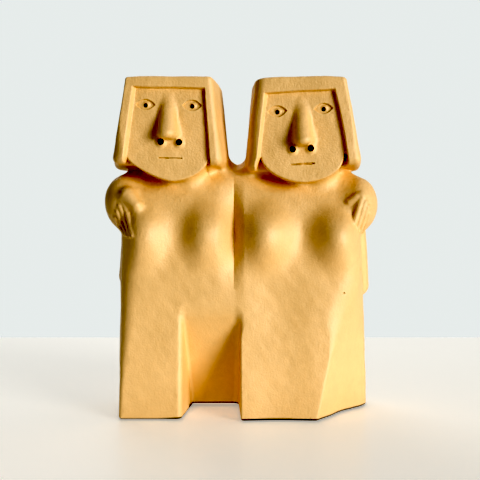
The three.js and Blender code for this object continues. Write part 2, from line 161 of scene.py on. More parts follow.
# Pocket of the face, the deep well below it and the jaw
FRINGE_LEAN, POCKET_PROUD, POCKET_RIGHT_BEVEL = 0.25, 6, 0.35
POCKET_ROUND, FRINGE_ROUND, POCKET_EDGE = 0.5, 0.4, 0.6
WELL_Y, WELL_INSET, WELL_TOP_ROUND, WELL_ROUND, WELL_EDGE = 26.5, 0.3, 1.0, 3.0, 1.5
JAW_THICK, JAW_TAPER, JAW_ROUND, JAW_INSIDE = 7.0, 5.0, 1.6, 20.0
NECK_Y = 8.0

# Corner between a head and the chest: its radius, and where it is rounder
CHIN_FILLET, CHIN_FILLET_MORE = 4.0, 10.0
CHIN_FILLET_RISE, CHIN_FILLET_FALL, CHIN_FILLET_Y = (0, 22), (34, 44), (-25, -5)
SPLIT_FILLET, SPLIT_FILLET_HALF = 6.0, 30
LOCK_FILLET_LEFT, LOCK_FILLET_HALF = 40, 17

# Eyes, noses, nostrils and mouths
EYE_APART, EYE_HALF, EYE_HIGH = 40.7, 8.7, 4.9
ALMOND_ROUND, ALMOND_EDGE = 0.5, 0.35
EYEBALL, EYEBALL_SHIFT, EYEBALL_SINK, EYEBALL_FLAT = 5.6, 1.0, 0.6, 0.9
PUPIL_DEPTH, PUPIL_DROP, PUPIL_ROUND, PUPIL_EDGE = 2.2, 0.6, 0.8, 0.25
NOSE_FLARE = (0.14, 0.55)
NOSE_CUT, NOSE_EDGE, NOSE_FILLET, NOSE_INSIDE = 1.5, 6.5, 2.5, 8.0
WING_RADIUS, WING_REACH, WING_SINK, WING_BLEND = 3.8, 3.2, 1.0, 2.5
NOSTRILS_APART, NOSTRIL_TILT, NOSTRIL_DROP, NOSTRIL_AHEAD = 15.8, 5.0, 1.0, 5.0
NOSTRIL_DEPTH, NOSTRIL_ROUND, NOSTRIL_EDGE = 4.5, 1.5, 0.3
BURR_OUT, BURR_HALF, BURR_RISE, BURR_LENGTH = 0.5, 1.3, 0.4, 4
MOUTH_HALF, MOUTH_HIGH, MOUTH_DEEP, MOUTH_EDGE = 10.5, 0.6, 1.5, 0.3

# Painted black shade inside the drilled holes: (middle depth, half depth) behind the face, and its soft
# edge
PUPIL_SHADE, PUPIL_SHADE_EDGE = (3, 4), (-0.2, 0.3)
NOSTRIL_SHADE, NOSTRIL_SHADE_EDGE = (0, 6), (-0.1, 0.4)

# Hands laid over the outer shoulders: (out, up, radius) along the thumb and along each finger,
# lift of the thumb's points off the skin, and radii of the back of the hand
SHOULDER, SHOULDER_BLEND, SHOULDER_LOW_Z = (105.5, -2.0, 192.0), 8.0, 140
HAND_INNER_X, HAND_LOW_Z, HAND_HIGH_Z, HAND_REAR_Y = 78, 145, 216, 20
HAND_DEPTHS, HAND_SINK, HAND_BLEND, FINGER_BLEND = (-60.0, 30.0, 0.1), 0.4, 1.7, 0.8
HANDS = (
    dict(side=-1, drop=0.0, thumb_lift=(3.0, 3.4), thumb_blend=6.0, mound=(19.5, 26.0, 26.0), limbs=(
        ((100, 196.5, 7.4), (91.5, 187.5, 5.4)),
        ((104, 192, 2.8), (100.5, 182, 2.6), (94, 161, 1.9)),
        ((107, 187, 2.6), (103.5, 178, 2.4), (96.4, 160, 1.8)),
        ((109.5, 182, 2.6), (106, 173, 2.4), (99, 160.5, 1.8)),
        ((111.5, 177, 2.6), (108.5, 169, 2.4), (101.8, 161.5, 1.8)),
    )),
    dict(side=1, drop=3.0, thumb_lift=(0.0, 0.0, 0.0), thumb_blend=2.2, mound=(19.5, 33.0, 26.0), limbs=(
        ((106, 196, 3.6), (102, 195, 3.6), (96, 190.5, 3.0)),
        ((107, 194, 3.0), (104.5, 188, 3.0), (99.5, 172, 2.6)),
        ((109, 190, 3.0), (107, 184, 3.0), (102.5, 168, 2.6)),
        ((111, 186, 3.0), (109, 179, 3.0), (105.8, 166, 2.6)),
        ((112.5, 181, 2.8), (111, 174, 2.8), (109.5, 165.5, 2.4)),
    )),
)

# Arms: across the backs to the far shoulders, and hanging at the outer flanks to a hand at the hip
ARM_RADIUS, ARM_BLEND, ARM_FILLET, ARMS_LOW_Z = 13.0, 4.0, 2.5, 70
ARM_PATH = ((-14, 40, 202), (46, 44, 187), (100, 30, 197))
HANGING_RADIUS, HANGING_Y, HANGING_TOP_Z, HANGING_LEAN = 10.5, 25.0, 184.0, 4.0
HANGING_OUTER_X = (-116.5, 123.2)
HAND_TIP_Z = (112.0, 103.0)

# Pinhole: its place across and up, its radius, the y where it ends, and its roundings
PINHOLE, PINHOLE_RADIUS, PINHOLE_END_Y = (90.6, 110.1), 0.9, -30.0
PINHOLE_ROUND, PINHOLE_EDGE = 0.3, 0.2

# Unevenness that hands leave in clay: wave length, height and seed of each kind
UNEVEN = ((46.0, 0.20, 11), (17.0, 0.06, 12), (6.0, 0.03, 13))
WAVES_EACH = 18
EVEN_FOOT_Z = 25

# Heights between which the surface turns from smoother to grittier
GRIT_LOW_Z, GRIT_HIGH_Z = 120.0, 200.0

# Skinning of the sculpted field
FIELD_LOW, FIELD_HIGH = (-134, -66, -6), (134, 66, 308)
GRID_STEP = 3.6
BATCH = 30000
PASSES, QUICK_PASSES = 5, 2
TURN_LIMIT = math.radians(13)
TETRAHEDRON = np.array([(1, -1, -1), (-1, -1, 1), (-1, 1, -1), (1, 1, 1)], dtype=float)
SLOPE_REACH, NORMAL_REACH = 0.15, 0.2

# Longest edge of the skin by what it shows, each with the bounds of its area, and how much longer
# an edge may be before it is cut
MESH_PLAIN = 4.6
MESH_FACE, MESH_FACE_DEPTH, MESH_FACE_HALF, MESH_FACE_LOW = 2.0, 10, 46, -56
MESH_HOLE, MESH_EYE_AREA, MESH_NOSTRIL_AREA = 0.65, (11, 8), 5.5
MESH_MOUTH, MESH_MOUTH_AREA = 0.9, (15, 3)
MESH_HAND, MESH_HAND_X, MESH_HAND_Y, MESH_HAND_Z = 1.4, 84, 5, (154, 210)
MESH_PINHOLE, MESH_PINHOLE_AREA = 0.7, 2.5
MESH_FOOT, MESH_FOOT_Y, MESH_FOOT_Z = 1.3, 16, 5
LONGER_BEND, LONGER_EDGE = 1.45, 1.4

# Looks of the clay by place: (reach, weight) of each sample of the painted shade that darkens recesses,
# and reach of the rubbed edges
PAINTED_SHADE_REACHES = ((1.2, 0.45), (3.0, 0.35), (7.0, 0.20))
RUB_REACH = 2.0

# Clay material: scales of its noises, darkest and lightest share of its colour, weights of the noises in
# the tone of the colour and in relief as (everywhere, more where gritty), and strengths of the painted
# shade in recesses, of the rubbed edges and of the spread of roughness
CLOUD_SCALE, MOTTLE_SCALE, STROKE_SCALE, SPECK_SCALE = 26, 130, 420, 620
STROKE_TURN, STROKE_STRETCH = (0.0, 0.35, 0.3), (1.0, 1.0, 0.22)
DARKEST, LIGHTEST = 0.90, 1.06
SHADE_CLOUDS, SHADE_MOTTLE, SHADE_STROKES, SHADE_SPECK = 0.5, 0.7, (0.4, 0.5), (0.3, 0.6)
RELIEF_MOTTLE, RELIEF_STROKES, RELIEF_SPECK = 0.3, (0.2, 0.15), (0.58, 0.36)
PAINTED_SHADE_STRENGTH, RUB_STRENGTH, ROUGHNESS_SPREAD = 0.7, 0.5, 0.12

# Camera at the photograph's viewing angle
CAMERA_PLACE = (-0.6, -640.0, 157.0)
CAMERA_LENS = 51.75
CAMERA_SENSOR = 36.0

# Lights, in metres and radians: the point that they look at, then distance, size, turn and rise
AIM = (0.0, 0.0, 0.15)
WHITE = (1.0, 1.0, 1.0)
KEY_DISTANCE, KEY_TINT = 5.0, (1.0, 0.97, 0.92)
TOP_DISTANCE, TOP_SIZE, TOP_RISE = 1.7, (1.0, 1.0), math.radians(80)
REAR_DISTANCE, REAR_SIZE, REAR_POWER = 1.8, (1.2, 0.8), 7.5
REAR_TURN, REAR_RISE = math.radians(200), math.radians(35)
FILL_TINT = (0.8, 1.08, 1.28)

# Table: rear edge, front edge, half width, rounding of the rear edge and thickness, in metres
TABLE_REAR, TABLE_FRONT, TABLE_HALF, TABLE_ROUND, TABLE_THICK = 0.477, -0.36, 0.65, 0.006, 0.04
TABLE_ROUGHNESS, TABLE_SHINE, TABLE_DARKEST, TABLE_CLOUD_SCALE = 0.3, 0.05, 0.97, 3


class SculptSizes(bpy.types.PropertyGroup):
    """Sizes of the carving that a maker would change"""

    breast_rise: FloatProperty(
        name="Breast height", description="How far the breasts stand out of the chest",
        default=0.0135, min=0.0, max=0.03, unit="LENGTH")
    groove_depth: FloatProperty(
        name="Groove depth", description="Depth of the groove that parts the two bodies",
        default=0.009, min=0.0, max=0.02, unit="LENGTH")
    nose_reach: FloatProperty(
        name="Nose reach", description="How far the tip of a nose stands out of the face",
        default=0.0175, min=0.005, max=0.03, unit="LENGTH")
    eye_depth: FloatProperty(
        name="Eye depth", description="Depth of the almond that an eye sits in",
        default=0.0017, min=0.0, max=0.006, unit="LENGTH")
    pupil_radius: FloatProperty(
        name="Pupil radius", description="Radius of the hole that is drilled for a pupil",
        default=0.0018, min=0.0005, max=0.004, unit="LENGTH")
    nostril_radius: FloatProperty(
        name="Nostril radius", description="Radius of the hole that is drilled for a nostril",
        default=0.0026, min=0.0005, max=0.005, unit="LENGTH")
    unevenness: FloatProperty(
        name="Unevenness", description="Strength of the waves that hands leave in the clay",
        default=1.0, min=0.0, max=4.0, subtype="FACTOR")
    finest_edge: FloatProperty(
        name="Finest edge", description="Shortest edge of the skin, at creases and drilled holes",
        default=0.00068, min=0.0003, max=0.004, unit="LENGTH")


class ClayFinish(bpy.types.PropertyGroup):
    """Colours and surface of the fired clay, with the colours of its painted shade"""

    colour: FloatVectorProperty(
        name="Clay", description="Colour of the open surfaces of the clay",
        default=(0.84, 0.585, 0.315), min=0.0, max=1.0, subtype="COLOR")
    # Painted shade: a darker colour mixed in where the surface lies deep in a recess, standing in for
    # the shade there
    painted_shade_colour: FloatVectorProperty(
        name="Hollows", description="Colour of the clay in grooves and holes",
        default=(0.68, 0.46, 0.21), min=0.0, max=1.0, subtype="COLOR")
    worn_colour: FloatVectorProperty(
        name="Worn edges", description="Colour of the clay where edges are rubbed",
        default=(0.88, 0.66, 0.38), min=0.0, max=1.0, subtype="COLOR")
    # Painted shade: black put in the drilled holes, and a painted shadow along the foot
    painted_black_shade_colour: FloatVectorProperty(
        name="Holes", description="Colour of the clay in drilled holes and under the foot",
        default=(0.02, 0.012, 0.006), min=0.0, max=1.0, subtype="COLOR")
    grain: FloatProperty(
        name="Grain", description="Height of the fine grain of the surface",
        default=0.00035, min=0.0, max=0.002, unit="LENGTH")
    roughness: FloatProperty(
        name="Roughness", description="How matt the clay is",
        default=0.58, min=0.0, max=1.0, subtype="FACTOR")


class StageSettings(bpy.types.PropertyGroup):
    """Table, backdrop and lights"""

    table_colour: FloatVectorProperty(
        name="Table", description="Colour of the table top",
        default=(0.765, 0.735, 0.685), min=0.0, max=1.0, subtype="COLOR")
    backdrop_colour: FloatVectorProperty(
        name="Backdrop", description="Colour of the plain backdrop",
        default=(0.858, 0.888, 0.881), min=0.0, max=1.0, subtype="COLOR")
    key_power: FloatProperty(
        name="Main light", description="Power of the soft light at the right",
        default=268.0, min=0.0, max=5000.0, unit="POWER")
    key_size: FloatProperty(
        name="Main light size", description="Width and height of the soft light at the right",
        default=2.1, min=0.05, max=10.0, unit="LENGTH")
    key_azimuth: FloatProperty(
        name="Main light turn", description="Turn of the main light to the right of the camera",
        default=math.radians(46), subtype="ANGLE")
    key_elevation: FloatProperty(
        name="Main light rise", description="Height of the main light as an angle",
        default=math.radians(6), subtype="ANGLE")
    top_power: FloatProperty(
        name="Top light", description="Power of the soft light above the table",
        default=5.6, min=0.0, max=1000.0, unit="POWER")
    table_glow: FloatProperty(
        name="Table glow", description="Light that the table gives from its whole top",
        default=0.58, min=0.0, max=10.0, subtype="FACTOR")
    fill: FloatProperty(
        name="Fill", description="Strength of the even light from all round",
        default=0.1, min=0.0, max=2.0, subtype="FACTOR")
    contrast: FloatProperty(
        name="Contrast", description="Power that the picture's tones are raised to",
        default=1.2, min=0.5, max=3.0, subtype="FACTOR")
    black_level: FloatProperty(
        name="Black level", description="Brightness below which the picture is black",
        default=0.18, min=0.0, max=0.5, subtype="FACTOR")
    edge_segments: IntProperty(
        name="Edge segments", description="Segments of the rounded rear edge of the table",
        default=6, min=1, max=32)


def ramp(low, high, value):
    """0 up to low, 1 from high, and a smooth rise between"""
    share = np.clip((value - low) / (high - low), 0.0, 1.0)
    return share * share * (3 - 2 * share)


def swell(distance):
    """1 at the middle and 0 from one unit away, smooth at both"""
    inside = np.maximum(0.0, 1 - distance * distance)
    return inside * inside


def meet(a, b, radius):
    """What two fields share, with the edge rounded to a radius"""
    corner = np.hypot(np.maximum(radius + a, 0), np.maximum(radius + b, 0))
    return np.minimum(-radius, np.maximum(a, b)) + corner


def join(a, b, radius):
    """Two fields together, with the inner corner filled to a radius"""
    return -meet(-a, -b, radius)


def merge(a, b, reach):
    """Two fields together, flowing into each other over a reach"""
    near = np.maximum(reach - np.abs(a - b), 0) / reach
    return np.minimum(a, b) - near * near * reach / 4


def limb(place, path):
    """Round limb through a row of points that each have a radius"""
    result = None
    for start, end in zip(path[:-1], path[1:]):
        start, end = np.array(start), np.array(end)
        along = end[:3] - start[:3]
        offset = [axis - start[i] for i, axis in enumerate(place)]
        reach = sum(offset[i] * along[i] for i in range(3)) / (along @ along)
        reach = np.clip(reach, 0.0, 1.0)
        gap = np.sqrt(sum((offset[i] - reach * along[i]) ** 2 for i in range(3)))
        piece = gap - (start[3] + (end[3] - start[3]) * reach)
        result = piece if result is None else np.minimum(result, piece)
    return result


def egg(place, centre, radii):
    """Ball scaled to three radii, with a distance that is true near its skin"""
    scaled = [(axis - centre[i]) / radii[i] for i, axis in enumerate(place)]
    size = np.sqrt(sum(part * part for part in scaled))
    slope = np.sqrt(sum((part / radii[i]) ** 2 for i, part in enumerate(scaled)))
    return size * (size - 1) / np.maximum(slope, 1e-6)


class Sculpture:
    """The whole figurine as a field: its distance in millimetres, below zero inside the clay"""

    def __init__(self, sizes):
        self.breast_rise = sizes.breast_rise / MM
        self.groove_depth = sizes.groove_depth / MM
        self.nose_reach = sizes.nose_reach / MM
        self.eye_depth = sizes.eye_depth / MM
        self.pupil = sizes.pupil_radius / MM
        self.nostril = sizes.nostril_radius / MM
        self.unevenness = sizes.unevenness
        self.outline_z, self.outline_curves = self.smooth_outline()
        self.waves = [self.wave_table(length, seed) for length, height, seed in UNEVEN]
        self.hand_paths = [self.lay_hand(hand) for hand in HANDS]

    @staticmethod
    def smooth_outline():
        """Body outline at every millimetre of height, with its corners smoothed out"""
        heights = np.arange(OUTLINE_LOW_Z, OUTLINE_HIGH_Z)
        kept = slice(OUTLINE_SPARE, -OUTLINE_SPARE)
        kernel = np.hanning(2 * OUTLINE_SOFTEN + 1)
        kernel /= kernel.sum()
        curves = []
        for column in range(1, BODY_OUTLINE.shape[1]):
            curve = np.interp(heights, BODY_OUTLINE[:, 0], BODY_OUTLINE[:, column])
            curves.append(np.convolve(curve, kernel, "same")[kept])
        curves.append(np.gradient(curves[2]))
        return heights[kept], curves

    @staticmethod
    def wave_table(length, seed):
        """Random plane waves of about one wave length"""
        rng = np.random.default_rng(seed)
        headings = rng.normal(size=(WAVES_EACH, 3))
        headings /= np.linalg.norm(headings, axis=1)[:, None]
        headings *= (2 * math.pi / length * rng.uniform(0.6, 1.5, WAVES_EACH))[:, None]
        return headings.T, rng.uniform(0, 2 * math.pi, WAVES_EACH)

    def handwork(self, points):
        """Low waves in the surface"""
        total = 0.0
        for (headings, phases), (_, height, _) in zip(self.waves, UNEVEN):
            scale = height * self.unevenness * math.sqrt(2 / WAVES_EACH)
            total = total + scale * np.sin(points @ headings + phases).sum(axis=1)
        return total

    def front_rise(self, x, z):
        """How far the front stands forward of the plain outline"""
        rise = np.zeros_like(x)
        for middle, height, left, right, above, below, share in BREASTS:
            half = np.where(x < middle, left, right)
            reach = np.where(z > height, above, below)
            inside = np.maximum(0.0, 1 - ((x - middle) / half) ** 2 - ((z - height) / reach) ** 2)
            rise += self.breast_rise * share * inside ** 3
        for woman in HEADS:
            aside, below = x - woman["x"] + UNDERCUT_LEFT, z - woman["z"] + UNDERCUT_BELOW
            away = np.hypot(aside / UNDERCUT_HALF_WIDTH, below / UNDERCUT_HALF_HEIGHT)
            rise -= UNDERCUT_DEPTH * swell(away)
        fade = ramp(GROOVE_LOW_Z, GROOVE_DEEP_Z, z) * (1 - ramp(GROOVE_DEEP_Z, GROOVE_TOP_Z, z))
        groove_half = np.where(x < SPLIT_X, *GROOVE_HALF_WIDTHS)
        groove = np.maximum(0, 1 - np.abs(x - SPLIT_X) / groove_half) ** GROOVE_POWER
        block = ramp(NICHE_FRONT[1], NICHE_FRONT[2], x) * np.maximum(0, 1 - z / BLOCK_TOP_Z)
        dish = swell((x - DISH_X) / DISH_HALF_WIDTH) * (1 - ramp(DISH_LOW_Z, DISH_TOP_Z, z))
        return rise - self.groove_depth * fade * groove + BLOCK_FORWARD * block - DISH_DEPTH * dish

    def back_rise(self, x, z):
        """How far the back stands behind the plain outline"""
        rise = -BACK_GROOVE_DEPTH * swell((x - SPLIT_X) / BACK_GROOVE_HALF_WIDTH)
        for middle in SEATS:
            rise = rise + SEAT_RISE * swell(np.hypot(x - middle, z - SEAT_Z) / SEAT_RADIUS)
        return rise

    def body(self, x, y, z):
        """The block of both bodies, without heads, arms or cuts"""
        left, right, front, back, corner, flare, lean = (
            np.interp(z, self.outline_z, curve) for curve in self.outline_curves)
        chest = (front - self.front_rise(x, z) - y) / np.hypot(1.0, lean)
        taper = np.clip((FLANK_Y - y) / (FLANK_Y - front - corner), 0.0, 1.0)
        flank = np.abs(x - (left + right) / 2) - ((right - left) / 2 - flare * taper)
        rear = y - back - self.back_rise(x, z)
        block = meet(chest, flank, corner)
        block = meet(block, rear, corner + BACK_CORNER_MORE)
        return meet(block, z - BODY_TOP, BODY_TOP_ROUND)

    def shoulders(self, x, y, z):
        """Backs of the hands that lie over the outer shoulders"""
        result = None
        for hand in HANDS:
            centre = (hand["side"] * SHOULDER[0], SHOULDER[1], SHOULDER[2] - hand["drop"])
            mound = egg((x, y, z), centre, hand["mound"])
            result = mound if result is None else np.minimum(result, mound)
        return result

    def lay_hand(self, hand):
        """Lays a hand's limbs on the skin below them"""
        depths = np.arange(*HAND_DEPTHS)
        limbs = []
        for path in hand["limbs"]:
            laid = []
            lifts = hand["thumb_lift"] if path is hand["limbs"][0] else (0.0, 0.0, 0.0)
            for (out, up, radius), lift in zip(path, lifts):
                x = np.full_like(depths, hand["side"] * out)
                z = np.full_like(depths, up)
                shoulder = self.shoulders(x, depths, z)
                skin = merge(self.body(x, depths, z), shoulder, SHOULDER_BLEND)
                depth = depths[np.argmax(skin < 0)] + HAND_SINK * radius - lift
                laid.append((hand["side"] * out, depth, up, radius))
            limbs.append(laid)
        return limbs

    def arms(self, x, y, z):
        """Arms across the backs, and arms that hang at the flanks"""
        result = None
        for side in SIDES:
            path = [(side * out, depth, up, ARM_RADIUS) for out, depth, up in ARM_PATH]
            arm = limb((x, y, z), path)
            result = arm if result is None else merge(result, arm, ARM_BLEND)
        for side, outer, tip in zip(SIDES, HANGING_OUTER_X, HAND_TIP_Z):
            middle = outer - side * HANGING_RADIUS
            path = [
                (middle - side * HANGING_LEAN, HANGING_Y, HANGING_TOP_Z, HANGING_RADIUS),
                (middle, HANGING_Y, tip + HANGING_RADIUS, HANGING_RADIUS),
            ]
            result = np.minimum(result, limb((x, y, z), path))
        return result

    def hair(self, woman, u, v, w, z):
        """Flat-topped hair: narrow in front, widest at the ears, round behind"""
        share = np.clip((w - woman["hem"]) / (HEIGHT - woman["z"] - woman["hem"]), 0.0, 1.0)
        rightward = u > woman["hair_shift"]
        top, hem, tight, round_off = (np.where(rightward, b, a) for a, b in zip(*woman["locks"]))
        front = hem + (top - hem) * share
        corner = round_off + (tight - round_off) * ramp(*HAIR_CORNER_SHARES, share)
        side = woman["hem_side"] + (woman["top_side"] - woman["hem_side"]) * share
        behind = np.clip((v - HAIR_FRONT_Y) / (HAIR_WIDEST_Y - HAIR_FRONT_Y), 0.0, 1.0)
        inner = rightward == (woman["x"] < SPLIT_X)
        half = front + (side - front) * behind * (1 + inner * (1 - behind))
        across = np.maximum(np.abs(u - woman["hair_shift"]), 1e-3)
        rearward = np.maximum(v - FLANK_Y, 0.0)
        depth = HAIR_BACK_Y - FLANK_Y
        size = np.hypot(across / half, rearward / depth)
        slope = np.hypot(across / half**2, rearward / depth**2) / size
        flank = (size - 1) / slope
        helmet = meet(HAIR_FRONT_Y - v, flank, corner)
        crown = z - HEIGHT + woman["dome"] * (across / CROWN_HALF) ** 2
        helmet = meet(helmet, crown, CROWN_ROUND)
        return meet(helmet, woman["hem"] - w, HEM_ROUND)

    def pockets(self, woman, u, v, w):
        """Shallow pocket of the face between fringe and locks, and the deep one below the jaw"""
        share = (w - woman["hem"]) / (woman["fringe"] - woman["hem"])
        at_fringe, at_hem, bow = (np.where(u < 0, a, b) for a, b in zip(*woman["pocket"]))
        half = at_hem + (at_fringe - at_hem) * share + 4 * bow * np.maximum(share * (1 - share), 0)
        half = half + LOCK_SLANT * np.where(u < 0, np.maximum(woman["jaw_top"] - w, 0), 0)
        proud = np.clip(FACE_Y - v, 0, POCKET_PROUD)
        bevel = np.where(u < 0, woman["bevel"], POCKET_RIGHT_BEVEL)
        spread = bevel * proud / (FACE_Y - HAIR_FRONT_Y)
        wall = np.abs(u) - half - spread
        fringe = (w - woman["fringe"] - FRINGE_LEAN * proud) / math.hypot(1, FRINGE_LEAN)
        face = meet(meet(wall, v - FACE_Y, POCKET_ROUND), fringe, FRINGE_ROUND)
        well = meet(np.abs(u) - half + WELL_INSET, w - woman["jaw_top"], WELL_TOP_ROUND)
        return face, meet(well, v + WELL_Y, WELL_ROUND)

    def jaw(self, woman, u, v, w):
        """Face below the hair, down to a jaw that overhangs the chest and runs back to the neck"""
        across = u - woman["chin_shift"]
        half = woman["jaw"] - np.sign(across) * woman["chin_shift"]
        power = np.where(across < 0, *woman["jaw_powers"])
        out = np.maximum(np.abs(across) / half, 1e-3)
        down = np.maximum((woman["jaw_top"] - w) / woman["chin"], 1e-3)
        size = (out**power + down**power) ** (1 / power)
        slope = np.hypot(out ** (power - 1) / half, down ** (power - 1) / woman["chin"])
        edge = (size - 1) / (slope * size ** (1 - power))
        taper = np.clip((v - FACE_Y - JAW_THICK) / (NECK_Y - FACE_Y - JAW_THICK), 0.0, 1.0)
        block = meet(FACE_Y - v, edge + JAW_TAPER * taper, JAW_ROUND)
        return np.maximum(block, np.maximum(w - JAW_INSIDE, v - JAW_INSIDE))

    def nose(self, woman, u, v, w):
        """Round ridge from the brow to a blunt tip, with a small wing at each side of its foot"""
        across = u - woman["nose"]
        length = woman["nose_root"] - woman["nose_base"]
        share = np.clip((woman["nose_root"] - w) / length, 0.0, 1.0)
        root, tip = woman["nose_radii"]
        radius = root + (tip - root) * share
        ridge = FACE_Y + root + (tip - self.nose_reach - root) * share
        lean_root, lean_tip = woman["nose_lean"]
        off = across - lean_root - (lean_tip - lean_root) * share
        flare = np.where(off < 0, *NOSE_FLARE)
        aside = np.maximum(np.abs(off) - flare * np.maximum(v - ridge, 0.0), 0.0)
        above = np.maximum(w - woman["nose_root"], 0.0)
        bridge = np.sqrt(aside ** 2 + np.minimum(v - ridge, 0.0) ** 2 + above ** 2) - radius
        bridge = meet(bridge, woman["nose_base"] + NOSE_CUT - w, NOSE_EDGE)
        wing = egg(
            (np.abs(across), v, w),
            (NOSTRILS_APART / 2, FACE_Y + WING_SINK, woman["nose_base"] - NOSTRIL_DROP),
            (WING_RADIUS, WING_REACH + WING_SINK, WING_RADIUS))
        return np.maximum(merge(bridge, wing, WING_BLEND), v - FACE_Y - NOSE_INSIDE)

    def eye(self, woman, side, u, v, w, core):
        """Almond cut, the ball in it and the drilled pupil"""
        across = u - side * EYE_APART / 2
        up = w - woman["eye"]
        bow = 1 - (across / EYE_HALF) ** 2
        slant = np.hypot(1.0, 2 * EYE_HIGH * across / EYE_HALF**2)
        almond = (np.abs(up) - EYE_HIGH * bow) / slant
        pit = meet(almond, v - FACE_Y - self.eye_depth, ALMOND_ROUND)
        core = meet(core, -pit, ALMOND_EDGE)
        aside, behind = across - EYEBALL_SHIFT, v - (FACE_Y + EYEBALL + EYEBALL_SINK)
        ball = np.sqrt(aside ** 2 + behind ** 2 + (up / EYEBALL_FLAT) ** 2) - EYEBALL
        core = np.minimum(core, ball)
        around = np.hypot(across, up + PUPIL_DROP)
        hole = meet(around - self.pupil, v - FACE_Y - PUPIL_DEPTH, PUPIL_ROUND)
        return meet(core, -hole, PUPIL_EDGE)

    def nostril_hole(self, woman, side, u, v, w, core):
        """Hole drilled inwards and upwards into the tip of the nose, with its burr"""
        tilt = math.radians(NOSTRIL_TILT)
        across = u - woman["nose"] - side * NOSTRILS_APART / 2
        ahead = v - (FACE_Y - NOSTRIL_AHEAD)
        up = w - woman["nose_base"] + NOSTRIL_DROP
        along = ahead * math.cos(tilt) + up * math.sin(tilt)
        off = up * math.cos(tilt) - ahead * math.sin(tilt)
        around = np.hypot(across, off)
        ring = swell((around - self.nostril - BURR_OUT) / BURR_HALF)
        raised = core - BURR_RISE * ring * (1 - ramp(0, BURR_LENGTH, along))
        hole = meet(around - self.nostril, along - NOSTRIL_DEPTH, NOSTRIL_ROUND)
        return meet(raised, -hole, NOSTRIL_EDGE)

    @staticmethod
    def in_head(woman, x, y, z):
        """Places in the frame of a head"""
        yaw, roll = math.radians(woman["yaw"]), math.radians(woman["roll"])
        turned = (x - woman["x"]) * math.cos(yaw) + y * math.sin(yaw)
        v = y * math.cos(yaw) - (x - woman["x"]) * math.sin(yaw)
        u = turned * math.cos(roll) - (z - woman["z"]) * math.sin(roll)
        w = turned * math.sin(roll) + (z - woman["z"]) * math.cos(roll)
        return u, v, w

    def head(self, woman, x, y, z):
        """One head, worked out in its own frame"""
        u, v, w = self.in_head(woman, x, y, z)
        face, well = self.pockets(woman, u, v, w)
        core = meet(self.hair(woman, u, v, w, z), -face, POCKET_EDGE)
        core = meet(core, -well, WELL_EDGE)
        core = np.minimum(core, self.jaw(woman, u, v, w))
        core = join(core, self.nose(woman, u, v, w), NOSE_FILLET)
        for side in SIDES:
            core = self.eye(woman, side, u, v, w, core)
            core = self.nostril_hole(woman, side, u, v, w, core)
        slit = np.hypot((w - woman["mouth"]) / MOUTH_HIGH, (v - FACE_Y) / MOUTH_DEEP)
        slit = np.maximum((slit - 1) * MOUTH_HIGH, np.abs(u - woman["mouth_shift"]) - MOUTH_HALF)
        return meet(core, -slit, MOUTH_EDGE)

    @staticmethod
    def head_fillet(woman, x, y):
        """Radius of the corner between a head and the chest"""
        across = x - woman["x"]
        chin = ramp(*CHIN_FILLET_RISE, across) * (1 - ramp(*CHIN_FILLET_FALL, across))
        chin = chin * (1 - ramp(*CHIN_FILLET_Y, y))
        between = swell((x - SPLIT_X) / SPLIT_FILLET_HALF)
        fillet = CHIN_FILLET + CHIN_FILLET_MORE * chin + SPLIT_FILLET * between
        return fillet + woman["lock_fillet"] * swell((across + LOCK_FILLET_LEFT) / LOCK_FILLET_HALF)

    def niche(self, x, y, z):
        """Opening between the left legs and the right block, under a sloping back wall"""
        share = (y - NICHE_FRONT[0]) / (NICHE_REAR[0] - NICHE_FRONT[0])
        held = np.clip(share, -0.5, 1.0)
        left = NICHE_FRONT[1] + (NICHE_REAR[1] - NICHE_FRONT[1]) * held
        right = NICHE_FRONT[2] + (NICHE_REAR[2] - NICHE_FRONT[2]) * held
        fall = (NICHE_REAR[3] - NICHE_FRONT[3]) / (NICHE_REAR[0] - NICHE_FRONT[0])
        ceiling = (z - NICHE_FRONT[3] - fall * (y - NICHE_FRONT[0])) / math.hypot(1, fall)
        opening = meet(ceiling, x - right, NICHE_RIGHT_ROUND)
        opening = meet(opening, left - x, NICHE_LEFT_ROUND)
        slot = meet(meet(z - NICHE_REAR[3], x - right, SLOT_ROUND), left - x, SLOT_ROUND)
        return np.minimum(opening, np.maximum(slot, y - NICHE_UNDER_Y))

    def facet(self, x, y, z):
        """Plane of the slanting facet, a little wavy at its foot"""
        low, high, rear = FACET
        outward = np.cross(high - low, rear - low)
        outward /= np.linalg.norm(outward) * np.sign(outward[0])
        plane = (x - low[0]) * outward[0] + (y - low[1]) * outward[1] + (z - low[2]) * outward[2]
        plane = plane - FACET_FADE * ramp(*FACET_FADE_Z, z)
        for middle, half, depth in FACET_WAVES:
            wave = depth * swell((x - middle) / half)
            plane = plane + wave * (1 - ramp(0, FACET_WAVES_TOP_Z, z))
        return plane

